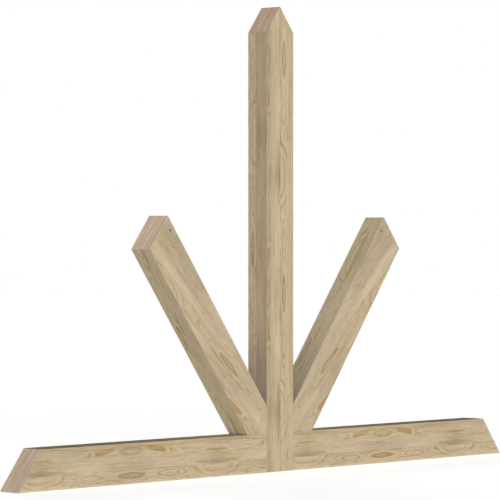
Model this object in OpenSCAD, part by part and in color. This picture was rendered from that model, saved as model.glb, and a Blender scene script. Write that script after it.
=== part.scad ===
// Timber gable bracket: a pointed king post, a tie beam in two halves butted
// against it, and two struts that rise from the inner corners to the rake.
// Every upper end is sawn to the same roof line, and all faces are flush.
// The frame has X along the tie, Y from the front face to the back and Z up,
// with the origin under the king post, midway between the two faces.

/* [Bracket] */
// Width over the toes of the tie beam
bracket_w = 2743.2; // [2000:0.2:3600]
// Height from the underside of the tie to the point of the king post
bracket_h = 1828.8; // [1200:0.2:2400]

/* [Timber] */
// Depth of every timber, front face to back face
timber_d = 101.6; // [60:0.2:160]
// Face width of the king post
post_face = 152.4; // [90:0.2:220]
// Face height of the tie beam
tie_face = 152.4; // [90:0.2:220]
// Face width of the struts
strut_face = 152.4; // [90:0.2:220]
// Flat left where each long sharp corner is planed off
arris = 1; // [0.5:0.1:6]

/* [Hidden] */

timber_colour = [0.77, 0.71, 0.58];

// Roof line: from the point of the king post down to the toe of the tie
half_span = bracket_w / 2;
rake_slope = bracket_h / half_span;
rake_angle = atan(rake_slope);

// Corners of the open bay between post, tie and rake, as [x, z]
bay_corner = [post_face / 2, tie_face];
bay_top = [post_face / 2, bracket_h - rake_slope * post_face / 2];
bay_toe = [half_span - tie_face / rake_slope, tie_face];

// A strut's head is centred on the bay's rake
strut_head = (bay_top + bay_toe) / 2;
head_offset = strut_head - bay_corner;

// A strut's foot bears over equal lengths of the post and the tie
function foot_bearing(lean) = strut_face / (sin(lean) + cos(lean));
function settled_lean(lean, passes) =
    passes == 0 ? lean :
    let (half_bearing = foot_bearing(lean) / 2)
    settled_lean(atan2(head_offset.y - half_bearing, head_offset.x - half_bearing), passes - 1);
lean_passes = 12;
strut_lean = settled_lean(atan2(head_offset.y, head_offset.x), lean_passes);

// Uncut length that a strut's blank has past its head and past its foot
blank_spare = 2 * strut_face;
strut_blank = norm(head_offset) + 2 * blank_spare;

// Larger than the bracket, for the blocks that stand for a saw cut's waste
waste = bracket_w + bracket_h;

// Section of a planed timber: a rectangle with its four corners eased
module section(face) {
    x = face / 2;
    y = timber_d / 2;
    polygon([
        [arris - x, -y], [x - arris, -y],
        [x, arris - y], [x, y - arris],
        [x - arris, y], [arris - x, y],
        [-x, y - arris], [-x, arris - y]
    ]);
}

// A straight timber standing on the XY plane, its face width along X
module timber(face, length) {
    color(timber_colour) linear_extrude(height = length) section(face);
}

// Everything above the right-hand roof line
module rake_waste() {
    translate([0, 0, bracket_h])
        rotate([0, rake_angle, 0])
            translate([-waste, -waste, 0]) cube(2 * waste);
}

// Everything left of the king post's right side
module post_waste() {
    translate([bay_corner.x - 2 * waste, -waste, -waste]) cube(2 * waste);
}

// Everything below the tie's top
module tie_waste() {
    translate([-waste, -waste, bay_corner.y - 2 * waste]) cube(2 * waste);
}

// Upright timber whose two roof cuts meet in a point
module king_post() {
    difference() {
        timber(post_face, bracket_h);
        rake_waste();
        mirror([1, 0, 0]) rake_waste();
    }
}

// Half of the tie beam: square against the post, sawn to the rake at its toe
module right_tie() {
    difference() {
        translate([post_face / 2, 0, tie_face / 2])
            rotate([0, 90, 0]) timber(tie_face, half_span);
        rake_waste();
    }
}

module left_tie() {
    mirror([1, 0, 0]) right_tie();
}

// Leaning timber: head sawn to the rake, foot double-cut to post and tie
module right_strut() {
    difference() {
        translate([strut_head.x, 0, strut_head.y])
            rotate([0, 90 - strut_lean, 0])
                translate([0, 0, blank_spare - strut_blank]) timber(strut_face, strut_blank);
        rake_waste();
        post_waste();
        tie_waste();
    }
}

module left_strut() {
    mirror([1, 0, 0]) right_strut();
}

king_post();
left_tie();
right_tie();
left_strut();
right_strut();
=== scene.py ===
"""Dresses the timber gable bracket in planed softwood and sets it in a pale studio."""

import math
from dataclasses import dataclass

import bpy
import numpy as np
from bpy.props import FloatProperty, FloatVectorProperty, PointerProperty
from mathutils import Euler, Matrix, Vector


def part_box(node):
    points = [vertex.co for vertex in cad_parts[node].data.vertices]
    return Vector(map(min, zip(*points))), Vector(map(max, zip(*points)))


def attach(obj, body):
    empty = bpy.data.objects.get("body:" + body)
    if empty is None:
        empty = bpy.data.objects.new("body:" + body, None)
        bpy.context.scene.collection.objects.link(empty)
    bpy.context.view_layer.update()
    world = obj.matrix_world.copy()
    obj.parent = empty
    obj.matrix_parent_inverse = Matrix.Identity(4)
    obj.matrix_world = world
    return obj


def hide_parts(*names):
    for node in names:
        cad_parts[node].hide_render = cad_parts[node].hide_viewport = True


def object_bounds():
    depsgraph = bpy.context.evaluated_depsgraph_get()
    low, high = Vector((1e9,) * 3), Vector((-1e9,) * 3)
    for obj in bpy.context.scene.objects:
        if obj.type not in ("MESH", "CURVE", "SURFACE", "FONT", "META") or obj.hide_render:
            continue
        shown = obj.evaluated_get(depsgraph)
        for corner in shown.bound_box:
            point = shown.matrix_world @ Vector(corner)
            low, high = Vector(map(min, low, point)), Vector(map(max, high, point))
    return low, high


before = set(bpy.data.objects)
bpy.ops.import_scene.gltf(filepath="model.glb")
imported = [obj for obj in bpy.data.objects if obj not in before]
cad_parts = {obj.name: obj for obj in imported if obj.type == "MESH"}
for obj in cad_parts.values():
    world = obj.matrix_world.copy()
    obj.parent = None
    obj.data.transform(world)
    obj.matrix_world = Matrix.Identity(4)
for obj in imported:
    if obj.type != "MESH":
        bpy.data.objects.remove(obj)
CAD_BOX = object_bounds()

bl_info = {
    "name": "Timber Gable Bracket",
    "version": (1, 0, 0),
    "blender": (4, 5, 0),
    "location": "3D View > Sidebar > Bracket",
    "description": "Dresses a timber gable bracket in planed softwood and sets it in a pale studio",
    "category": "Object",
}

MM = 0.001
BODY = "root"

# Main lines of the bracket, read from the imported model

POST_LOW, POST_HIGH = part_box("king_post")
TIE_LOW, TIE_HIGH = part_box("right_tie")
STRUT_LOW, STRUT_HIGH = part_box("right_strut")
PEAK = POST_HIGH.z
HALF_SPAN = TIE_HIGH.x
RAKE_SLOPE = PEAK / HALF_SPAN
FRONT = POST_LOW.y
BACK = POST_HIGH.y


def rake_x(z):
    """Where the right-hand roof line is at this height."""
    return (PEAK - z) / RAKE_SLOPE


def rake_z(x):
    """How high the right-hand roof line is at this distance from the post's middle."""
    return PEAK - RAKE_SLOPE * x


def foot_bearing():
    """How far up the post and along the tie a strut's foot bears, for its long edges to be parallel."""
    corner = Vector((POST_HIGH.x, TIE_HIGH.z))
    upper = Vector((rake_x(STRUT_HIGH.z), STRUT_HIGH.z)) - corner
    lower = Vector((STRUT_HIGH.x, rake_z(STRUT_HIGH.x))) - corner
    total = upper.y + lower.x
    product = upper.y * lower.x - upper.x * lower.y
    return (total - math.sqrt(total * total - 4 * product)) / 2


STRUT_BEARING = foot_bearing()


def linear(red, green, blue):
    """A colour as it looks on a screen, each part from 0 to 255, as the linear colour of a shader."""
    parts = [value / 255 for value in (red, green, blue)]
    return tuple(p / 12.92 if p <= 0.04045 else ((p + 0.055) / 1.055) ** 2.4 for p in parts)


def colour_setting(name, description, default):
    """A colour that a user would change."""
    return FloatVectorProperty(
        name=name, description=description, default=default, size=3, subtype="COLOR", min=0, max=1)


class TimberSettings(bpy.types.PropertyGroup):
    """Edges, growth rings and colours of the planed timbers."""

    arris: FloatProperty(
        name="Arris radius", description="Rounding of the long corners", default=1.6 * MM,
        min=0.5 * MM, max=6 * MM, unit="LENGTH")
    end_ease: FloatProperty(
        name="End ease", description="Easing of the sharp edge round each saw cut", default=0.6 * MM,
        min=0.2 * MM, max=3 * MM, unit="LENGTH")
    relief: FloatProperty(
        name="Grain relief", description="Depth to which the soft wood between the rings is worn",
        default=0.25 * MM, min=0, max=1 * MM, unit="LENGTH")
    saw_depth: FloatProperty(
        name="Saw marks", description="Depth of the saw's scores in the cut ends", default=0.25 * MM,
        min=0, max=1 * MM, unit="LENGTH")
    pin_depth: FloatProperty(
        name="Pin knots", description="Depth of the small dark knots", default=1.2 * MM,
        min=0, max=3 * MM, unit="LENGTH")
    early_wood: colour_setting("Early wood", "Pale wood between the rings", linear(205, 188, 157))
    pale_wood: colour_setting(
        "Pale wood", "Lightest wood, in knots and along some edges", linear(216, 200, 170))
    blush_wood: colour_setting("Blush", "Warmer areas of the pale wood", linear(208, 187, 163))
    late_wood: colour_setting(
        "Late wood", "Ochre line at the end of each year's growth", linear(168, 139, 74))
    resin: colour_setting("Resin", "Brown flares round the knots", linear(166, 120, 68))
    stain: colour_setting("Stain", "Olive grey smudges", linear(142, 129, 103))
    # Painted shade: a grey colour painted into the inner corners between the post and the struts, where
    # shade falls
    painted_corner_shade: colour_setting("Painted shade", "Grey dirt in the sharp inner corners", linear(138, 129, 119))
    pin: colour_setting("Pin knot", "Dark core of the small knots", linear(124, 106, 72))
    # The sawn and saw score colours are the pinkish cut wood, and partly painted light: they are painted
    # paler than the wood of the long faces, so that the up-facing cuts look lit under the low lamps
    sawn: colour_setting("Sawn end", "Pinkish wood of the saw cuts", linear(243, 218, 189))
    scored: colour_setting(
        "Saw score", "Darker streaks that the saw leaves in the cuts", linear(203, 176, 155))


class StudioSettings(bpy.types.PropertyGroup):
    """Lamps, floor and camera."""

    key_strength: FloatProperty(
        name="Key lamp", description="Strength of the main lamp", default=3.1, min=0, max=20)
    key_bearing: FloatProperty(
        name="Key bearing", description="Turn of the main lamp from straight ahead to the left",
        default=math.radians(35), min=-math.pi, max=math.pi, subtype="ANGLE")
    lamp_height: FloatProperty(
        name="Lamp height", description="Angle of the lamps above the floor",
        default=math.radians(4), min=0, max=math.pi / 2, subtype="ANGLE")
    lamp_spread: FloatProperty(
        name="Lamp spread", description="Angle over which each lamp is spread, for soft shadows",
        default=math.radians(40), min=0, max=math.pi, subtype="ANGLE")
    fill_strength: FloatProperty(
        name="Fill", description="Strength of the lamp behind the bracket", default=2.7, min=0, max=20)
    surround: colour_setting(
        "Surround", "Light that comes from all round near the floor", (0.43, 0.43, 0.43))
    overhead: colour_setting("Overhead", "Light that comes from straight above", (0.03, 0.03, 0.03))
    floor_colour: colour_setting("Floor", "Colour of the plain floor", (0.8, 0.8, 0.8))
    floor_glow: FloatProperty(
        name="Floor glow", description="Share of white that the camera sees in the floor", default=0.78,
        min=0, max=1, subtype="FACTOR")
    camera_bearing: FloatProperty(
        name="Camera bearing", description="Turn of the camera from straight ahead to the left",
        default=math.radians(46.13), min=-math.pi, max=math.pi, subtype="ANGLE")
    camera_dip: FloatProperty(
        name="Camera dip", description="Angle that the camera looks down",
        default=math.radians(0.206), min=-math.pi / 2, max=math.pi / 2, subtype="ANGLE")
    camera_distance: FloatProperty(
        name="Camera distance", description="From the lens to the bracket's middle plane",
        default=11.382, min=2, max=50, unit="LENGTH")
    camera_aim: FloatVectorProperty(
        name="Camera aim", description="Where the lens points, from the middle of the bracket", size=3,
        subtype="TRANSLATION", unit="LENGTH", default=(-0.1183, 0.0, -0.0427))
    camera_lens: FloatProperty(
        name="Lens", description="Focal length of the camera on a 36 mm sensor", default=209.24,
        min=20, max=600)


# Shape of a timber

GRID_ROUND = 2.5 * MM
GRID_ALONG = 7 * MM
ARRIS_STEPS = 4
EASE_SHARE = 0.3
SHARP_ANGLE = math.radians(35)


class Timber:
    """A straight timber between two saw cuts, each a chain of (x, z) points from one edge to the other."""

    def __init__(self, foot, head, mirrored=False):
        self.foot = np.array(foot, float)
        self.head = np.array(head, float)
        self.mirror = -1 if mirrored else 1
        self.corner = self.foot[0]
        run = self.head[0] - self.foot[0]
        self.axis = run / np.hypot(*run)
        width = self.foot[-1] - self.foot[0]
        self.side = width - self.axis * (width @ self.axis)
        self.face = np.hypot(*self.side)
        self.side = self.side / self.face

    def chain(self, points):
        """The chain's places across the face, and how far along the timber each is."""
        away = points - self.corner
        return away @ self.side, away @ self.axis

    def cut(self, points, across):
        """How far along the timber a saw cut is at these places across the face."""
        return np.interp(across, *self.chain(points))

    def kinks(self):
        """Places across the face where a saw cut changes direction."""
        inner = [self.chain(points)[0][1:-1] for points in (self.foot, self.head)]
        return sorted(np.concatenate(inner))

    def turn(self, along, across, depth):
        """Directions in the bracket's frame."""
        x = along * self.axis[0] + across * self.side[0]
        z = along * self.axis[1] + across * self.side[1]
        return np.stack([self.mirror * x, depth, z], axis=-1)

    def world(self, along, across, depth):
        """Points in the bracket's frame."""
        return self.turn(along, across, depth) + [self.mirror * self.corner[0], 0, self.corner[1]]


def stations(stops, step):
    """Places from the first stop to the last, about a step apart and through every stop."""
    runs = [np.linspace(start, end, max(1, round((end - start) / step)), endpoint=False)
            for start, end in zip(stops, stops[1:])]
    return np.append(np.concatenate(runs), stops[-1])


class Section:
    """Outline of a timber's section: four flats and four rounded corners, in order round it."""

    def __init__(self, timber, radius):
        flat_ends = [radius, *timber.kinks(), timber.face - radius]
        self.across = stations(flat_ends, GRID_ROUND)
        self.depth = stations([FRONT + radius, BACK - radius], GRID_ROUND)
        turns = np.arange(1, ARRIS_STEPS) / ARRIS_STEPS * math.pi / 2
        low, high = self.across[0], self.across[-1]
        near, far = self.depth[0], self.depth[-1]
        flats = [
            (self.across, np.full_like(self.across, near), -math.pi / 2, (high, near)),
            (np.full_like(self.depth, high), self.depth, 0, (high, far)),
            (self.across[::-1], np.full_like(self.across, far), math.pi / 2, (low, far)),
            (np.full_like(self.depth, low), self.depth[::-1], math.pi, (low, near)),
        ]
        centre_u, centre_v, angles = [], [], []
        self.starts = []
        self.count = 0
        for across, depth, angle, corner in flats:
            self.starts.append(self.count)
            centre_u += [across, np.full_like(turns, corner[0])]
            centre_v += [depth, np.full_like(turns, corner[1])]
            angles += [np.full_like(across, angle), angle + turns]
            self.count += len(across) + len(turns)
        self.normal_u = np.cos(np.concatenate(angles))
        self.normal_v = np.sin(np.concatenate(angles))
        self.u = np.concatenate(centre_u) + radius * self.normal_u
        self.v = np.concatenate(centre_v) + radius * self.normal_v

    def girth(self):
        """Share of the way round the outline at each of its points, and back at the first."""
        steps = np.hypot(np.diff(self.u, append=self.u[0]), np.diff(self.v, append=self.v[0]))
        distance = np.concatenate([[0], np.cumsum(steps)])
        return distance / distance[-1]

    def inside(self):
        """Points of the grid that fills a saw cut inside the outline."""
        return [part.ravel() for part in np.meshgrid(self.across, self.depth, indexing="ij")]


def cut_faces(section):
    """Faces of a saw cut: a grid inside, strips out to the outline, and a fan in each corner.

    The outline's points are numbered first and the grid's points after them.
    """
    columns, rows = len(section.across), len(section.depth)
    grid = section.count + np.arange(columns * rows).reshape(columns, rows)
    faces = []
    for i in range(columns - 1):
        for j in range(rows - 1):
            faces.append([grid[i, j], grid[i + 1, j], grid[i + 1, j + 1], grid[i, j + 1]])
    edges = [grid[:, 0], grid[-1, :], grid[::-1, -1], grid[0, ::-1]]
    for edge, start in zip(edges, section.starts):
        for k in range(len(edge) - 1):
            faces.append([start + k, start + k + 1, edge[k + 1], edge[k]])
        last = start + len(edge) - 1
        for k in range(last, last + ARRIS_STEPS):
            faces.append([k % section.count, (k + 1) % section.count, edge[-1]])
    return faces


# Figure of the wood, in millimetres on a flat face

# The figure repeats in mirror image along the grain, from a dark lens to a smudge half-way to the next.
# A glued seam divides it. On one side lie lenses, pale islands and arches, on the other eyes and knots.
# Places along the grain are a reach from the nearest lens or a gap from the nearest smudge.
HALF_REPEAT = 460
BACK_SHIFT = 330
SIDE_AXIS = 26
SEAM = 21
OUTER_SEAM = -59
LENS_LONG, LENS_HIGH, LENS_CORE = 71, 10, 0.6
ISLAND_AT, ISLAND_LONG, ISLAND_HIGH, ISLAND_CORE = 196, 62, 11, 0.2
BRIDGE_RISE = 0.2
NOSE_ROUND, NOSE_RING = 5, 45
NEAR_RINGS, FAR_SLOPE = 25, 0.04
ARCH_FROM, ARCH_LONG, ARCH_HIGH, ARCH_RING = 345, 150, 55, 2.3
ARCH_INNER, ARCH_OUTER = 3.2, 0.8
BURR_AT, BURR_UP, BURR_SQUASH, BURR_RING = 328, -150, 1.5, 14
KNOT_AT, KNOT_UP = 196, 84
EYE_UP, EYE_LONG, EYE_HIGH = 91, 54, 13.5
SPINDLE_UP, SPINDLE_LONG, SPINDLE_HIGH = 76, 66, 5
OUTER_RING, OUTER_SWAY, SWAY_LONG = 9.5, 0.5, 150
CUT_PITH, CUT_SQUASH, CUT_RING, CUT_LINES = 12, 1.5, 5, 0.5
PIN_WIDE = 5.5
SIDE_LINES, SIDE_BLOTCH, SIDE_SMUDGE, SIDE_EVEN = 0.85, 0.1, 0.65, 0.2
SEAM_SOFT = 3
FOOT_FROM, FOOT_FULL = 60, 200
WAIST_LONG = 190
FACE_SEEDS = 10

# Size, length and width of the slow waves in the figure
WAVES = ((0.05, 700, 90), (0.05, 330, 50), (0.04, 150, 30), (0.03, 70, 21))

FACES = range(5)
FRONT_FACE, BACK_FACE, KNOT_SIDE, FAR_SIDE, SAW_CUT = FACES
SIDES = (KNOT_SIDE, FAR_SIDE)
LONG_FACES = (FRONT_FACE, BACK_FACE, *SIDES)


@dataclass
class Stock:
    """How the wood lies in one timber, and how strong the marks of its figure are.

    The centre is a lens's middle on the front, as (x, z). Grain and knots are the ways along the grain and
    across it to the knots. Each pin is the place of a small knot along and across from the centre.
    """

    centre: tuple
    grain: tuple
    knots: tuple
    seed: int
    side_shift: float = 173
    blotch: float = 0.38
    lens_fill: float = 0.36
    strip_stain: float = 0.0
    strip_pale: float = 0.6
    rim_ochre: float = 0.0
    line_share: float = 1.0
    # Painted light: makes the side faces paler
    painted_side_light: float = 0.0
    side_darkening: float = 0.0
    foot_blush: float = 0.0
    waist_stain: float = 0.0
    cut_shade: float = 0.3
    # Faces that get painted shade near the inner corners between the post and the struts
    painted_shade_faces: tuple = ()
    pins: tuple = ()


def bell(offset, width):
    """Smooth bump, 1 in its middle."""
    return np.exp(-(offset / width) ** 2)


def climb(start, end, value):
    """Smooth rise from 0 to 1, or fall where the end comes first."""
    share = np.clip((value - start) / (end - start), 0, 1)
    return share * share * (3 - 2 * share)


def band(value, outer, inner):
    """1 between the two inner places, and down to 0 at the outer ones."""
    return climb(outer[0], inner[0], value) * climb(outer[1], inner[1], value)


def patch(along, up, at, spread):
    """Soft patch, 1 in its middle."""
    return bell(along - at[0], spread[0]) * bell(up - at[1], spread[1])


def stroke(along, up, at, half):
    """Short soft stroke with blunt ends, 1 in its middle."""
    return np.exp(-((along - at[0]) / half[0]) ** 4 - ((up - at[1]) / half[1]) ** 2)


def lens(along, up):
    """Lens: 0 in its middle and 1 on its outline, from offsets that are 1 at its tip and its top."""
    return along ** 2 + np.abs(up) ** 1.5


def eye_shape(reach, up):
    """The eye beside each lens: 0 in its middle and 1 on its outline."""
    return lens(reach / EYE_LONG, (up - EYE_UP) / EYE_HIGH)


def spindle_shape(gap, up):
    """The thin spindle beside each smudge: 0 in its middle and 1 on its outline."""
    return lens(gap / SPINDLE_LONG, (up - SPINDLE_UP) / SPINDLE_HIGH)


def burr_distance(reach, up):
    """Distance from the middle of a burr in the outermost board."""
    return np.hypot((reach - BURR_AT) / BURR_SQUASH, up - BURR_UP)


def fold(along):
    """Distance from the nearest centre of the figure, which repeats in mirror image."""
    return np.abs((along + HALF_REPEAT) % (2 * HALF_REPEAT) - HALF_REPEAT)


def wander(along, up, seed):
    """Slow seeded waves that keep the mirrored figure from being exact."""
    chance = np.random.default_rng(seed)
    total = np.zeros_like(along)
    for size, length, width in WAVES:
        bends = chance.uniform(0, 2 * math.pi, 2)
        total += size * np.sin(2 * math.pi * along / length + bends[0] + 2 * np.sin(up / width + bends[1]))
    return total


def heart_rings(reach, up):
    """Rings round the lenses and islands, the arches about the smudges, and the burrs beyond."""
    island_start, island_end = ISLAND_AT - ISLAND_LONG, ISLAND_AT + ISLAND_LONG
    bridge_at = (LENS_LONG + island_start) / 2
    along_lens = reach / LENS_LONG
    along_bridge = (reach - bridge_at) / (bridge_at - LENS_LONG)
    along_island = (reach - ISLAND_AT) / ISLAND_LONG
    middle = np.select(
        [reach < LENS_LONG, reach < island_start, reach < island_end],
        [LENS_CORE + (1 - LENS_CORE) * along_lens ** 2,
         1 + BRIDGE_RISE * (1 - along_bridge ** 2),
         ISLAND_CORE + (1 - ISLAND_CORE) * along_island ** 2],
        1 + (reach - island_end) / NOSE_RING)
    slope = np.interp(reach, (LENS_LONG, island_start), (0.5 / LENS_HIGH, 1 / ISLAND_HIGH))
    away = np.hypot(up, NOSE_ROUND) - NOSE_ROUND
    wrapped = middle + slope * np.minimum(away, NEAR_RINGS) + FAR_SLOPE * np.maximum(away - NEAR_RINGS, 0)
    arch = np.hypot((HALF_REPEAT - reach) / ARCH_LONG, (up - SEAM) / ARCH_HIGH)
    arched = ARCH_RING + ARCH_INNER * np.maximum(1 - arch, 0) - ARCH_OUTER * np.maximum(arch - 1, 0)
    heart = wrapped + (arched - wrapped) * climb(island_end, ARCH_FROM, reach)
    return np.where(up < OUTER_SEAM, burr_distance(reach, up) / BURR_RING, heart)


def outer_rings(reach, up):
    """Long rings beyond the seam, which part round the eyes, the spindles and the knots."""
    rings = (up - SEAM) / OUTER_RING
    rings += OUTER_SWAY * np.cos(math.pi * reach / SWAY_LONG) * climb(40, 60, up)
    rings -= 2.4 * np.exp(-1.2 * eye_shape(reach, up))
    rings -= 1.2 * np.exp(-spindle_shape(HALF_REPEAT - reach, up))
    return rings + 1.5 * patch(reach, up, at=(KNOT_AT, KNOT_UP), spread=(30, 12))


def line_strength(reach, up):
    """How dark the ring lines are on each part of a face."""
    gap = HALF_REPEAT - reach
    heart = 0.1 + 0.9 * climb(-34, -14, up)
    heart *= 1 - 0.7 * patch(gap, up, at=(0, 9), spread=(70, 7))
    heart *= 1 - 0.4 * bell(gap, 130)
    outer = 0.34 + 0.45 * bell(up - 65, 9) * climb(140, 220, reach) + 0.35 * climb(92, 102, up)
    outer += 0.4 * np.exp(-0.7 * eye_shape(reach, up))
    burr = 0.7 * bell(burr_distance(reach, up), 75) * climb(OUTER_SEAM, OUTER_SEAM - 9, up)
    return np.clip(np.where(up > SEAM, outer, heart + burr), 0, 1)


def knot_flare(reach, up):
    """The streaked flare that runs from a knot towards the nearest lens, and its darker edges."""
    run = KNOT_AT - reach
    length = band(run, outer=(9, 124), inner=(20, 92))
    half = np.interp(run, (8, 30, 110), (6, 9.5, 7))
    across = (up - KNOT_UP - 2 - 0.13 * run) / half
    streaked = 0.74 + 0.26 * np.cos(5 * across + 0.04 * run)
    flare = length * climb(1.2, 0.8, np.abs(across)) * streaked
    edges = bell(across + 0.85, 0.3) * climb(90, 60, run) + 0.5 * bell(across - 0.85, 0.25)
    return flare, length * edges


def wood_marks(reach, up, stock):
    """Resin, ochre and stain on a face."""
    gap = HALF_REPEAT - reach
    flare, flare_edges = knot_flare(reach, up)
    bracket = stroke(up, reach, at=(KNOT_UP + 4, KNOT_AT + 12), half=(9, 6))
    tail = stroke(reach, up, at=(KNOT_AT + 28, KNOT_UP - 5), half=(17, 3.5))
    blind = stroke(gap, up, at=(172, 86), half=(22, 3.5))
    flanks = stroke(gap, up, at=(78, 31), half=(42, 4))
    seam = stroke(reach, up, at=(68, SEAM), half=(50, 2.6))
    smile = patch(gap, up, at=(0, -4), spread=(62, 4.5))
    spindle = climb(1.15, 0.5, spindle_shape(gap, up))
    eye = eye_shape(reach, up)
    eye_rim, eye_ring, eye_fill = bell(eye - 0.95, 0.26), bell(eye - 0.4, 0.16), climb(1, 0.6, eye)
    inside = lens(reach / LENS_LONG, up / LENS_HIGH)
    filled = climb(1.1, 0.9, inside) * (0.4 + 0.7 * bell(inside - 0.85, 0.26))
    edge = bell(up - 108 - 4 * np.cos(math.pi * reach / 190), 3.5)
    rim = band(up, outer=(-66, -22), inner=(-58, -34))

    resin = 0.75 * eye_rim + 0.15 * eye_ring + 0.2 * bracket + 0.3 * blind
    resin += 0.6 * flare_edges + 0.16 * flare + 0.2 * flanks + 0.2 * filled
    ochre = flare + 0.7 * bracket + 0.6 * tail + 0.9 * spindle + 0.6 * edge + 0.9 * seam + 0.5 * smile
    ochre += 0.8 * flanks + 0.2 * eye_fill + stock.lens_fill * filled + stock.rim_ochre * rim

    smudge = 1.25 * bell(gap, 58) * np.exp(-np.maximum(up - SEAM, 0) / 22)
    smudge += 0.1 * bell(gap, 34) * climb(118, 100, up)
    smudge += 0.3 * patch(reach, up, at=(0, 46), spread=(42, 20))
    smudge += 0.2 * patch(reach, up, at=(90, 44), spread=(40, 18))
    olive = 0.34 * climb(250, 330, reach) * climb(-56, -66, up)
    strip = stock.strip_stain * bell(up - 86, 17)
    return resin, ochre, smudge * (up > SEAM) + 0.5 * filled + olive + strip


def wood_tones(reach, up, stock):
    """Paler and pinker wood on a face."""
    gap = HALF_REPEAT - reach
    knot = stroke(reach, up, at=(KNOT_AT, KNOT_UP), half=(9, 7))
    bridge = patch(reach, up, at=(102, 0), spread=(24, 13))
    under = patch(gap, up, at=(0, 11), spread=(60, 7))
    middle = patch(reach, up, at=(200, 36), spread=(90, 15))
    streak = climb(290, 350, reach) * band(up, outer=(-59, -22), inner=(-54, -34))
    strip = band(up, outer=(-44, -19), inner=(-36, -25))
    pale = 0.95 * knot + 0.35 * bridge + 0.35 * under + 0.5 * streak + 0.6 * middle
    pale += stock.strip_pale * strip
    blush = middle + 0.6 * patch(gap, up, at=(120, 90), spread=(60, 14))
    return pale, blush


def face_place(points, stock, face):
    """Places along the grain and across it on one face of a timber, in millimetres."""
    place = points[..., [0, 2]] - np.array(stock.centre)
    along = place @ np.array(stock.grain) / MM
    if face in SIDES:
        return along - stock.side_shift, SIDE_AXIS - points[..., 1] / MM
    up = place @ np.array(stock.knots) / MM
    return along - (BACK_SHIFT if face == BACK_FACE else 0), up


def pin_knots(along, up, stock):
    """Small dark knots on the front of a timber, 1 in the middle of each."""
    return sum((bell(np.hypot(along - at, up - high), PIN_WIDE) for at, high in stock.pins), 0 * along)


def cut_figure(points, up, stock):
    """What the wood is like in a saw cut: close rings round the pith, and no marks."""
    rings = np.hypot(CUT_SQUASH * up, points[..., 1] / MM - CUT_PITH) / CUT_RING
    plain = np.zeros_like(rings)
    return (rings, rings, plain + CUT_LINES), (plain, plain, plain), (plain, plain, plain + stock.cut_shade)


def face_figure(along, up, stock, face):
    """What the wood is like on a long face."""
    reach = fold(along)
    waves = wander(along, up, stock.seed + FACE_SEEDS * face)
    resin, ochre, stain = wood_marks(reach, up, stock)
    pale, blush = wood_tones(reach, up, stock)
    blush = blush + stock.foot_blush * climb(FOOT_FROM, FOOT_FULL, along)
    if face in SIDES:
        line_share, blotch = SIDE_LINES, SIDE_BLOTCH
        # Painted light: the side faces are made paler, standing in for light that the low lamps don't give
        # them
        pale = pale + stock.painted_side_light
        front_board = climb(SEAM - SEAM_SOFT, SEAM + SEAM_SOFT, up)
        # The side faces are darkened with the stain colour, more on the front board, by an amount set for
        # each piece
        stain = SIDE_SMUDGE * stain + stock.side_darkening * (SIDE_EVEN + (1 - SIDE_EVEN) * front_board)
    else:
        line_share, blotch = stock.line_share, stock.blotch
        stain = stain + stock.waist_stain * bell(along, WAIST_LONG)
    strength = line_share * line_strength(reach, up)
    growth = (heart_rings(reach, up) + waves, outer_rings(reach, up) + 2 * waves, strength)
    marks = (resin, ochre, stain)
    tones = (pale, blush, np.full_like(pale, blotch))
    return growth, [np.clip(part, 0, 1) for part in marks], [np.clip(part, 0, 1) for part in tones]


def figure(points, stock, face):
    """What the wood is like at these points of a face: its rings, its marks and its tones."""
    along, up = face_place(points, stock, face)
    found = cut_figure(points, up, stock) if face == SAW_CUT else face_figure(along, up, stock, face)
    return [np.stack(parts, axis=-1) for parts in found]


# Mesh of a timber

SAW_PITCHES = (11.3 * MM, 7.1 * MM, 4.9 * MM)
WORN_MOST = 0.38
STEEPEST_RINGS = 0.3
FLAT_POWER = 16
PIN_REACH, PIN_ROWS = 12 * MM, 11
PIN_SKIN = 5 * MM
# Reach of the painted shade from the inner corners between the post and the struts
PAINTED_SHADE_REACH = 260 * MM
SIDE_STRETCH = 1.8
SEED_SHIFT = np.array([3.1, 0, 0.7])
SHEET_HIGH = 0.84
MAP_GAP = 0.02


def worn(rings):
    """How far the wood is worn down between the rings, from 0 on a ring's late wood to 1."""
    return 0.5 + 0.5 * np.cos(2 * math.pi * (rings - WORN_MOST))


def saw_scores(depth, seed):
    """Scores of the saw, from 0 to 1, which run straight across a cut."""
    chance = np.random.default_rng(seed)
    scores = np.zeros_like(depth)
    for pitch in SAW_PITCHES:
        scores += np.sin(2 * math.pi * depth / pitch + chance.uniform(0, 2 * math.pi))
    return 0.5 + scores / (2 * len(SAW_PITCHES))


def face_names(section, timber, stock):
    """Which face of the timber each step round its section belongs to."""
    normal_u = section.normal_u + np.roll(section.normal_u, -1)
    normal_v = section.normal_v + np.roll(section.normal_v, -1)
    towards = timber.turn(0.0, 1.0, 0.0)[[0, 2]] @ np.array(stock.knots)
    sides = np.where(normal_u * towards > 0, KNOT_SIDE, FAR_SIDE)
    fronts = np.where(normal_v < 0, FRONT_FACE, BACK_FACE)
    return np.where(np.abs(normal_u) > np.abs(normal_v), sides, fronts)


def row_shares(timber, stock):
    """Rows of the mesh along a timber, as shares of its length, closer together at a pin knot."""
    lowest = timber.chain(timber.foot)[1].min()
    longest = timber.chain(timber.head)[1].max() - lowest
    shares = np.linspace(0, 1, round(longest / GRID_ALONG))
    grain, knots = np.array(stock.grain), np.array(stock.knots)
    for at, high in stock.pins:
        spot = np.array(stock.centre) + (at * grain + high * knots) * MM
        across, along = timber.chain((spot * [timber.mirror, 1])[None])
        foot, head = timber.cut(timber.foot, across), timber.cut(timber.head, across)
        middle = ((along - foot) / (head - foot))[0]
        shares = np.union1d(shares, middle + np.linspace(-PIN_REACH, PIN_REACH, PIN_ROWS) / longest)
    return shares


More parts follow.
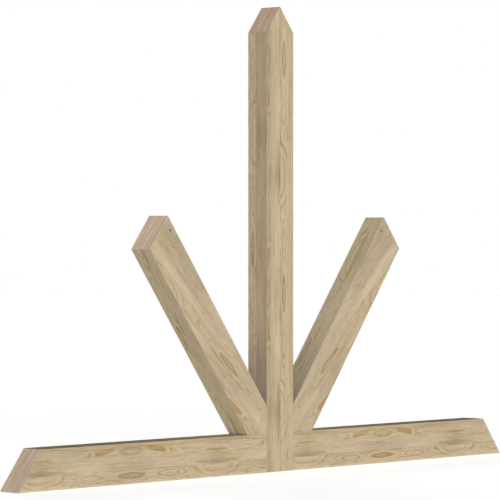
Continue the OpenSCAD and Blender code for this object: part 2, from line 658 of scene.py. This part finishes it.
def planed_skin(timber, section, stock, settings):
    """Points of a timber's long faces, in rows from its foot to its head, with its end edges eased."""
    ease = settings.end_ease
    part_ease = EASE_SHARE * ease
    body = row_shares(timber, stock)
    share = np.concatenate([[0, 0], body, [1, 1]])[:, None]
    clear = np.concatenate([[0, part_ease], np.full_like(body, ease), [part_ease, 0]])[:, None]
    inset = np.concatenate([[ease, part_ease], np.zeros_like(body), [part_ease, ease]])[:, None]
    u = section.u - inset * section.normal_u
    v = section.v - inset * section.normal_v
    foot = timber.cut(timber.foot, u) + clear
    head = timber.cut(timber.head, u) - clear
    return timber.world(foot * (1 - share) + head * share, u, v)


def worn_skin(skin, faces_round, timber, section, stock, settings):
    """The planed skin, worn down between the rings and sunk at the pin knots."""
    hollow = np.zeros(skin.shape[:2])
    for face in LONG_FACES:
        columns = faces_round == face
        along, up = face_place(skin[:, columns], stock, face)
        growth = figure(skin[:, columns], stock, face)[0]
        rings = np.where(up > SEAM, growth[..., 1], growth[..., 0])
        steepness = np.maximum(*(np.abs(np.gradient(rings, axis=axis)) for axis in (0, 1)))
        hollow[:, columns] = settings.relief * worn(rings) / (1 + (steepness / STEEPEST_RINGS) ** 4)
        if face == FRONT_FACE:
            hollow[:, columns] += settings.pin_depth * pin_knots(along, up, stock)
    flat = np.maximum(np.abs(section.normal_u), np.abs(section.normal_v)) ** FLAT_POWER
    normals = timber.turn(0.0, section.normal_u, section.normal_v)
    return skin - (hollow * flat)[..., None] * normals


def cut_map(section, end):
    """Places of a saw cut's points on the export's map, above the sheet of the long faces."""
    outline = np.stack([section.u, section.v], axis=-1)
    spots = np.concatenate([outline, np.stack(section.inside(), axis=-1)])
    low, high = outline.min(axis=0), outline.max(axis=0)
    corner = np.array([MAP_GAP + 0.5 * end, SHEET_HIGH + MAP_GAP])
    size = np.array([0.5 - 2 * MAP_GAP, 1 - SHEET_HIGH - 2 * MAP_GAP])
    return corner + (spots - low) / (high - low) * size


def joined_faces(section, rows, faces_round):
    """Faces of the whole mesh, their corners' places on the map, and the timber's face of each corner."""
    count = section.count
    row, column = (part.ravel()[:, None] for part in np.indices((rows - 1, count)))
    corner_row = row + np.array([0, 0, 1, 1])
    corner_column = column + np.array([0, 1, 1, 0])
    quads = corner_row * count + corner_column % count
    sheet = np.stack([corner_row / (rows - 1), section.girth()[corner_column] * SHEET_HIGH], axis=-1)

    head_cut = cut_faces(section)
    foot_cut = [face[::-1] for face in head_cut]
    ring, grid = np.arange(count), np.arange(len(section.across) * len(section.depth))
    foot_numbers = np.concatenate([ring, rows * count + grid])
    head_numbers = np.concatenate([(rows - 1) * count + ring, rows * count + len(grid) + grid])
    faces = quads.tolist()
    places = [sheet.reshape(-1, 2)]
    belongs = [np.broadcast_to(faces_round[column], quads.shape).ravel()]
    for end, (cut, numbers) in enumerate(((foot_cut, foot_numbers), (head_cut, head_numbers))):
        faces += [numbers[face].tolist() for face in cut]
        corners = np.concatenate(cut)
        places.append(cut_map(section, end)[corners])
        belongs.append(np.full(len(corners), SAW_CUT))
    return faces, np.concatenate(places), np.concatenate(belongs)


def set_attribute(mesh, name, values, domain="CORNER"):
    """Keeps a number or a vector for each of the mesh's face corners or points."""
    vector = values.ndim > 1
    layer = mesh.attributes.new(name, "FLOAT_VECTOR" if vector else "FLOAT", domain)
    layer.data.foreach_set("vector" if vector else "value", values.astype(np.float32).ravel())


def corner_distance(points):
    """Distance from the sharp inner corner between the post and a strut, where shade is painted."""
    corner_up = STRUT_LOW.z + STRUT_BEARING
    return np.hypot(np.abs(points[..., 0]) - POST_HIGH.x, points[..., 2] - corner_up)


def keep_figure(mesh, spots, belongs, stock):
    """Keeps what the wood is like at each face corner."""
    layers = {name: np.zeros_like(spots) for name in ("growth", "marks", "tones")}
    past_seam = np.zeros(len(spots))
    for face in FACES:
        chosen = belongs == face
        past_seam[chosen] = (face_place(spots[chosen], stock, face)[1] - SEAM) * MM
        for values, part in zip(layers.values(), figure(spots[chosen], stock, face)):
            values[chosen] = part
    for name, values in layers.items():
        set_attribute(mesh, name, values)
    set_attribute(mesh, "past_seam", past_seam)
    set_attribute(mesh, "sawn", (belongs == SAW_CUT).astype(float))
    # Painted shade: darker near the inner corners between the post and the struts, on the chosen faces
    set_attribute(mesh, "painted_corner_shade", bell(corner_distance(spots), PAINTED_SHADE_REACH) * np.isin(belongs, stock.painted_shade_faces))


def keep_grain(mesh, spots, belongs, timber, stock):
    """Keeps the place of each face corner in the wood, along the grain, across it and in depth."""
    along, up = face_place(spots, stock, FRONT_FACE)
    grain = np.stack([along * MM, up * MM, spots[:, 1]], axis=-1)
    on_side = np.isin(belongs, SIDES)
    away = spots[on_side][:, [0, 2]] * [timber.mirror, 1] - timber.corner
    grain[on_side, 0] = SIDE_STRETCH * (away @ timber.axis)
    grain[on_side, 1] = away @ timber.side
    set_attribute(mesh, "grain", grain + SEED_SHIFT * stock.seed)


def placed(name, data):
    """A new object in the scene."""
    made = bpy.data.objects.new(name, data)
    bpy.context.scene.collection.objects.link(made)
    return made


def build_timber(name, node, timber, stock):
    """Makes one timber as a closed mesh with its wood's figure, in place of its plain solid."""
    settings = bpy.context.scene.bracket_timber
    section = Section(timber, settings.arris)
    faces_round = face_names(section, timber, stock)
    skin = planed_skin(timber, section, stock, settings)
    skin = worn_skin(skin, faces_round, timber, section, stock, settings)
    u, v = section.inside()
    scores = settings.saw_depth * saw_scores(v, stock.seed)
    foot_cut = timber.world(timber.cut(timber.foot, u) + scores, u, v)
    head_cut = timber.world(timber.cut(timber.head, u) - scores, u, v)
    points = np.concatenate([skin.reshape(-1, 3), foot_cut, head_cut])
    faces, places, belongs = joined_faces(section, len(skin), faces_round)

    mesh = bpy.data.meshes.new(name)
    mesh.from_pydata(points.tolist(), [], faces)
    mesh.uv_layers.new(name="OFBake").data.foreach_set("uv", places.astype(np.float32).ravel())
    spots = points[np.concatenate(faces)]
    keep_figure(mesh, spots, belongs, stock)
    keep_grain(mesh, spots, belongs, timber, stock)
    pins = pin_knots(*face_place(points, stock, FRONT_FACE), stock) * (points[:, 1] < FRONT + PIN_SKIN)
    set_attribute(mesh, "pin", pins, "POINT")
    if timber.mirror * np.cross(timber.axis, timber.side) > 0:
        mesh.flip_normals()
    mesh.shade_smooth()
    mesh.set_sharp_from_angle(angle=SHARP_ANGLE)
    mesh.materials.append(planed_softwood())

    piece = placed(name, mesh)
    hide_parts(node)
    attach(piece, BODY)


# Finishes

class Shade:
    """A node's socket, on which Python's operators add Math nodes."""

    def __init__(self, tree, socket):
        self.tree = tree
        self.socket = socket

    @classmethod
    def node(cls, tree, kind, sockets=None, output=0, **settings):
        """Adds a node, sets it, fills its sockets with values or links, and gives one of its outputs."""
        made = tree.nodes.new(kind)
        for name, value in settings.items():
            setattr(made, name, value)
        for key, value in (sockets or {}).items():
            if isinstance(value, Shade):
                tree.links.new(value.socket, made.inputs[key])
            else:
                made.inputs[key].default_value = value
        return cls(tree, made.outputs[output]) if made.outputs else None

    def maths(self, operation, *values):
        """A Math node on these values."""
        return self.node(self.tree, "ShaderNodeMath", dict(enumerate(values)), operation=operation)

    def __add__(self, other):
        return self.maths("ADD", self, other)

    __radd__ = __add__

    def __sub__(self, other):
        return self.maths("SUBTRACT", self, other)

    def __rsub__(self, other):
        return self.maths("SUBTRACT", other, self)

    def __mul__(self, other):
        return self.maths("MULTIPLY", self, other)

    __rmul__ = __mul__

    def __gt__(self, other):
        return self.maths("GREATER_THAN", self, other)

    def __abs__(self):
        return self.maths("ABSOLUTE", self)

    def __floor__(self):
        return self.maths("FLOOR", self)


MIX_COLOUR_A, MIX_COLOUR_B, MIX_COLOUR_OUT = 6, 7, 2

# Noise in the wood: scales along the grain, across it and in depth, then detail and roughness
STREAKS = (4, 95, 95), 4.0, 0.74
FIBRE = (14, 330, 330), 3.0, 0.6
DASHES = (45, 1500, 1500), 1.0, 0.5
DRIFT = (3, 26, 26), 2.0, 0.5
BLUSH = (6, 36, 36), 2.0, 0.5
WOBBLE = (12, 75, 75), 3.0, 0.6
PATCHES = (12, 55, 55), 1.0, 0.5
MOTTLE = (38, 95, 95), 3.0, 0.6
SCORES = (6, 6, 150), 4.0, 0.62
SCRATCHES = (9, 9, 520), 3.0, 0.6

# Shares of a ring over which its line darkens and stops
LINE_RISE, LINE_STOP = (0.56, 0.90), (0.95, 1.0)
FINE_RISE, FINE_STOP = (0.45, 0.90), (0.94, 1.0)
FINE_RINGS = 3.0
RING_WOBBLE, RING_FRAY = 0.50, 0.14
LINE_LEAST, LINE_CHANCE, FINE_SHARE = 0.56, 0.54, 0.38
SEAM_LINE = 0.2 * MM, 1.6 * MM
PLANED_ROUGH, SOFT_ROUGH, SAWN_ROUGH = 0.62, 0.10, 0.14
BUMP_DEPTH, BUMP_STRENGTH = 0.3 * MM, 0.5


def mixed(factor, first, second):
    """Colour between two, by a factor that varies."""
    return Shade.node(
        factor.tree, "ShaderNodeMix", {0: factor, MIX_COLOUR_A: first, MIX_COLOUR_B: second},
        MIX_COLOUR_OUT, data_type="RGBA")


def layered(ground, layers):
    """Colour of a ground under layers, each a factor and a colour."""
    for factor, colour in layers:
        ground = mixed(factor, ground, colour)
    return ground


def ramped(value, start, end):
    """Smooth rise from 0 to 1 as a value goes from start to end."""
    return Shade.node(
        value.tree, "ShaderNodeMapRange", {0: value, 1: start, 2: end}, interpolation_type="SMOOTHSTEP")


def cloudy(vector, scales, detail, roughness):
    """Noise from 0 to 1 at these coordinates, scaled apart in their three directions."""
    scaled = Shade.node(
        vector.tree, "ShaderNodeVectorMath", {0: vector, 1: scales}, operation="MULTIPLY")
    return Shade.node(vector.tree, "ShaderNodeTexNoise", {
        "Vector": scaled, "Scale": 1.0, "Detail": detail, "Roughness": roughness})


def ring_line(rings, rise, stop):
    """Line that darkens towards the end of each ring."""
    share = rings - math.floor(rings)
    return ramped(share, *rise) * (1 - ramped(share, *stop))


def empty_tree(owner):
    """The node tree of a new material or world, with nothing in it."""
    owner.use_nodes = True
    owner.node_tree.nodes.clear()
    return owner.node_tree


def opaque(colour):
    """A colour property as the four numbers of a colour socket."""
    return (*colour, 1.0)


def planed_softwood():
    """Bare planed softwood: rings, fibres, resin flares and smudges, and pink sawn ends."""
    known = bpy.data.materials.get("planed_softwood")
    if known:
        return known
    settings = bpy.context.scene.bracket_timber
    material = bpy.data.materials.new("planed_softwood")
    tree = empty_tree(material)
    pale_wood, blush_wood, late_wood = map(
        opaque, (settings.pale_wood, settings.blush_wood, settings.late_wood))
    resin_wood, stained, scored = map(opaque, (settings.resin, settings.stain, settings.scored))

    def attribute(name, output="Fac"):
        return Shade.node(tree, "ShaderNodeAttribute", None, output, attribute_name=name)

    def parts(name):
        vector = attribute(name, "Vector")
        return [Shade.node(tree, "ShaderNodeSeparateXYZ", {0: vector}, axis) for axis in "XYZ"]

    heart, outer, strength = parts("growth")
    resin, ochre, stain = parts("marks")
    pale, pink, blotch = parts("tones")
    past_seam, sawn, pin, painted_corner_shade = (attribute(name) for name in ("past_seam", "sawn", "pin", "painted_corner_shade"))
    grain = attribute("grain", "Vector")
    noises = (STREAKS, FIBRE, DASHES, DRIFT, BLUSH, WOBBLE, PATCHES, MOTTLE, SCORES, SCRATCHES)
    streaks, fibre, dashes, drift, blush, wobble, patches, mottle, scores, scratches = (
        cloudy(grain, *noise) for noise in noises)

    rings = heart + (outer - heart) * (past_seam > 0.0)
    rings = rings + (wobble - 0.5) * RING_WOBBLE + (streaks - 0.5) * RING_FRAY
    weight = Shade.node(
        tree, "ShaderNodeTexWhiteNoise", {"W": math.floor(rings)}, "Value", noise_dimensions="1D")
    line = ring_line(rings, LINE_RISE, LINE_STOP)
    fine_line = ring_line(rings * FINE_RINGS, FINE_RISE, FINE_STOP)
    uneven = 0.4 + ramped(patches, 0.36, 0.60) * 0.6
    late = line * (LINE_LEAST + weight * LINE_CHANCE) + fine_line * FINE_SHARE
    late = late * strength * uneven
    seam = 1 - ramped(abs(past_seam), *SEAM_LINE)
    ring_tone = mixed(ramped(drift, 0.42, 0.62) * 0.5, late_wood, stained)
    streaky = 0.54 - blotch * 0.5

    wood = layered(opaque(settings.early_wood), (
        (ramped(blush, 0.40, 0.62) * (0.4 + blotch * 0.6), blush_wood),
        (pink * 0.7, blush_wood),
        (ramped(drift, 0.40, 0.68) * (0.08 + blotch * 0.18), stained),
        (ramped(mottle, 0.44, 0.66) * (0.05 + blotch * 0.32), stained),
        (pale * 0.8, pale_wood),
        (late * 0.9, ring_tone),
        (seam * ramped(drift, 0.32, 0.56) * 0.75, late_wood),
        (ochre * (0.62 + ramped(streaks, 0.38, 0.62) * 0.36), late_wood),
        (resin * (0.42 + streaks * 0.6), resin_wood),
        (stain * (0.55 + streaks * 0.4), stained),
        (ramped(streaks, 0.50, 0.72) * streaky, ring_tone),
        (ramped(streaks, 0.48, 0.28) * streaky * 0.8, pale_wood),
        (ramped(fibre, 0.46, 0.68) * 0.28, stained),
        (ramped(dashes, 0.62, 0.72) * 0.34, resin_wood),
        (ramped(pin, 0.15, 0.6), opaque(settings.pin)),
        # Painted shade in the inner corners between the post and the struts
        (painted_corner_shade * (0.5 + streaks * 0.4), opaque(settings.painted_corner_shade)),
    ))
    # Cut ends: pinkish sawn wood, painted paler as painted light on the up-facing cuts
    cut = layered(opaque(settings.sawn), (
        (ramped(scores + blotch * 0.25, 0.40, 0.76), scored),
        (ramped(scratches, 0.50, 0.72) * 0.5, scored),
        (line * uneven * 0.12, late_wood),
    ))
    height = (late + streaks * 0.4 + fibre * 0.2) * (1 - sawn) + scores * sawn
    bump = Shade.node(tree, "ShaderNodeBump", {
        "Strength": BUMP_STRENGTH, "Distance": BUMP_DEPTH, "Height": height})
    surface = Shade.node(tree, "ShaderNodeBsdfPrincipled", {
        "Base Color": mixed(sawn, wood, cut),
        "Roughness": PLANED_ROUGH + (1 - late) * SOFT_ROUGH + sawn * SAWN_ROUGH,
        "Specular IOR Level": 0.0, "Normal": bump})
    Shade.node(tree, "ShaderNodeOutputMaterial", {"Surface": surface})
    return material


def seen_directly(tree):
    """1 for what the camera sees straight or in a gloss or glass, and 0 for light on the bracket."""
    camera, gloss, glass = (
        Shade.node(tree, "ShaderNodeLightPath", None, output)
        for output in ("Is Camera Ray", "Is Glossy Ray", "Is Transmission Ray"))
    return camera.maths("MAXIMUM", camera.maths("MAXIMUM", camera, gloss), glass)


def studio_floor():
    """Plain pale floor that the camera sees as white and that keeps the bracket's shadow."""
    settings = bpy.context.scene.bracket_studio
    material = bpy.data.materials.new("studio_floor")
    tree = empty_tree(material)
    paint = Shade.node(tree, "ShaderNodeBsdfDiffuse", {"Color": opaque(settings.floor_colour)})
    glow = Shade.node(tree, "ShaderNodeEmission", {"Strength": settings.floor_glow})
    lit = Shade.node(tree, "ShaderNodeAddShader", {0: paint, 1: glow})
    floor = Shade.node(tree, "ShaderNodeMixShader", {0: seen_directly(tree), 1: paint, 2: lit})
    Shade.node(tree, "ShaderNodeOutputMaterial", {"Surface": floor})
    return material


# Timbers of this bracket

LEFT, RIGHT = -1, 1


def unit(x, z):
    """Direction in the bracket's plane."""
    size = math.hypot(x, z)
    return x / size, z / size


def post_timber():
    """Upright timber, cut to a point by the two roof lines."""
    half = POST_HIGH.x
    return Timber(
        foot=[(-half, 0), (half, 0)],
        head=[(-half, rake_z(half)), (0, PEAK), (half, rake_z(half))])


def tie_timber(way):
    """Half of the tie beam, square against the post and cut to the roof line at its toe."""
    top = TIE_HIGH.z
    return Timber(
        foot=[(TIE_LOW.x, 0), (TIE_LOW.x, top)],
        head=[(HALF_SPAN, 0), (rake_x(top), top)],
        mirrored=way == LEFT)


def strut_timber(way):
    """Leaning timber, its head cut to the roof line and its foot to the post and the tie."""
    inner, top = POST_HIGH.x, TIE_HIGH.z
    return Timber(
        foot=[(inner, top + STRUT_BEARING), (inner, top), (inner + STRUT_BEARING, top)],
        head=[(rake_x(STRUT_HIGH.z), STRUT_HIGH.z), (STRUT_HIGH.x, rake_z(STRUT_HIGH.x))],
        mirrored=way == LEFT)


def post_stock():
    """Wood of the king post."""
    return Stock(
        centre=(21.5 * MM, 698 * MM), grain=(0, 1), knots=(-1, 0), seed=3, blotch=0.25, side_darkening=0.46,
        # The post's sides get painted shade near the corners over the struts' feet
        strip_stain=0.45, strip_pale=0.0, rim_ochre=0.25, cut_shade=0.75, painted_shade_faces=SIDES)


def tie_stock(centre_x, seed):
    """Wood of half of the tie beam."""
    return Stock(centre=(centre_x, 32 * MM), grain=(1, 0), knots=(0, 1), seed=seed)


def strut_stock(way, seed, side_shift, side_darkening):
    """Wood of a strut."""
    return Stock(
        centre=(way * 287.5 * MM, 427 * MM), grain=unit(-way, -1), knots=unit(way, -1), seed=seed,
        # The strut sides are painted paler as painted light on the side faces
        side_shift=side_shift, side_darkening=side_darkening, painted_side_light=1.0, blotch=0.52, strip_pale=0.3,
        line_share=0.75, lens_fill=0.2, foot_blush=0.55, waist_stain=0.2, cut_shade=0.15,
        # The side that faces the post gets painted shade near the corner
        painted_shade_faces=(FAR_SIDE,), pins=((-592, -145),))


class BRACKET_OT_king_post(bpy.types.Operator):
    """Makes the king post"""

    bl_idname = "bracket.king_post"
    bl_label = "King Post"

    def execute(self, context):
        build_timber("king_post_timber", "king_post", post_timber(), post_stock())
        return {"FINISHED"}


class BRACKET_OT_ties(bpy.types.Operator):
    """Makes the two halves of the tie beam"""

    bl_idname = "bracket.ties"
    bl_label = "Tie Beam Halves"

    def execute(self, context):
        build_timber("left_tie_timber", "left_tie", tie_timber(LEFT), tie_stock(-812 * MM, seed=5))
        build_timber("right_tie_timber", "right_tie", tie_timber(RIGHT), tie_stock(611 * MM, seed=8))
        return {"FINISHED"}


class BRACKET_OT_struts(bpy.types.Operator):
    """Makes the two struts"""

    bl_idname = "bracket.struts"
    bl_label = "Struts"

    def execute(self, context):
        left = strut_stock(LEFT, seed=13, side_shift=-195, side_darkening=0.14)
        right = strut_stock(RIGHT, seed=21, side_shift=18, side_darkening=0.0)
        build_timber("left_strut_timber", "left_strut", strut_timber(LEFT), left)
        build_timber("right_strut_timber", "right_strut", strut_timber(RIGHT), right)
        return {"FINISHED"}


FLOOR_REACH = 40.0
FLOOR_SIDES = 96
SENSOR_WIDTH = 36
SURROUND_FADE = 0.05, 0.6
WHITE = (1, 1, 1)


class BRACKET_OT_stage(bpy.types.Operator):
    """Sets the floor, the lamps, the surround and the camera"""

    bl_idname = "bracket.stage"
    bl_label = "Studio"

    def execute(self, context):
        settings = context.scene.bracket_studio
        self.lay_floor()
        self.set_surround(context, settings)
        self.add_lamp(settings, "key_lamp", settings.key_strength, settings.key_bearing)
        behind = settings.key_bearing + math.pi
        self.add_lamp(settings, "fill_lamp", settings.fill_strength, behind)
        self.place_camera(context, settings)
        context.scene.view_settings.view_transform = "Standard"
        return {"FINISHED"}

    def lay_floor(self):
        turns = [2 * math.pi * side / FLOOR_SIDES for side in range(FLOOR_SIDES)]
        rim = [(FLOOR_REACH * math.cos(turn), FLOOR_REACH * math.sin(turn), 0) for turn in turns]
        mesh = bpy.data.meshes.new("studio_floor")
        mesh.from_pydata(rim, [], [list(range(FLOOR_SIDES))])
        mesh.materials.append(studio_floor())
        floor = placed("studio_floor", mesh)
        floor.visible_shadow = False

    def set_surround(self, context, settings):
        world = bpy.data.worlds.new("studio_surround")
        tree = empty_tree(world)
        level, above, white = (
            Shade.node(tree, "ShaderNodeBackground", {"Color": opaque(colour)})
            for colour in (settings.surround, settings.overhead, WHITE))
        way = Shade.node(tree, "ShaderNodeTexCoord", None, "Generated")
        height = abs(Shade.node(tree, "ShaderNodeSeparateXYZ", {0: way}, "Z"))
        rising = ramped(height, *SURROUND_FADE)
        light = Shade.node(tree, "ShaderNodeMixShader", {0: rising, 1: level, 2: above})
        both = Shade.node(tree, "ShaderNodeMixShader", {0: seen_directly(tree), 1: light, 2: white})
        Shade.node(tree, "ShaderNodeOutputWorld", {"Surface": both})
        context.scene.world = world

    def add_lamp(self, settings, name, strength, bearing):
        lamp = bpy.data.lights.new(name, "SUN")
        lamp.energy = strength
        lamp.angle = settings.lamp_spread
        holder = placed(name, lamp)
        holder.rotation_euler = Euler((math.pi / 2 - settings.lamp_height, 0, -bearing))

    def place_camera(self, context, settings):
        optics = bpy.data.cameras.new("photo_camera")
        optics.lens = settings.camera_lens
        optics.sensor_width = SENSOR_WIDTH
        camera = placed("photo_camera", optics)
        middle = (Vector(CAD_BOX[0]) + Vector(CAD_BOX[1])) / 2
        turn = Euler((math.pi / 2 - settings.camera_dip, 0, -settings.camera_bearing))
        forward = turn.to_matrix() @ Vector((0, 0, -1))
        camera.location = middle + Vector(settings.camera_aim) - forward * settings.camera_distance
        camera.rotation_euler = turn
        context.scene.camera = camera


class BRACKET_PT_panel(bpy.types.Panel):
    """Lists the bracket's pieces and its studio"""

    bl_label = "Gable Bracket"
    bl_idname = "BRACKET_PT_panel"
    bl_space_type = "VIEW_3D"
    bl_region_type = "UI"
    bl_category = "Bracket"

    def draw(self, context):
        layout = self.layout
        for operator in OPERATORS:
            layout.operator(operator.bl_idname)
        groups = {"Timber": context.scene.bracket_timber, "Studio": context.scene.bracket_studio}
        for title, group in groups.items():
            box = layout.box()
            box.label(text=title)
            for name in group.__annotations__:
                box.prop(group, name)


OPERATORS = (BRACKET_OT_king_post, BRACKET_OT_ties, BRACKET_OT_struts, BRACKET_OT_stage)
CLASSES = (TimberSettings, StudioSettings, *OPERATORS, BRACKET_PT_panel)


def register():
    """Adds the settings, the operators and the panel."""
    for kind in CLASSES:
        bpy.utils.register_class(kind)
    bpy.types.Scene.bracket_timber = PointerProperty(type=TimberSettings)
    bpy.types.Scene.bracket_studio = PointerProperty(type=StudioSettings)


def unregister():
    """Takes away what register adds."""
    del bpy.types.Scene.bracket_studio
    del bpy.types.Scene.bracket_timber
    for kind in reversed(CLASSES):
        bpy.utils.unregister_class(kind)


def main():
    """Makes the bracket and its studio, piece by piece."""
    register()
    bpy.ops.bracket.king_post()
    bpy.ops.bracket.ties()
    bpy.ops.bracket.struts()
    bpy.ops.bracket.stage()


if __name__ == "__main__":
    main()
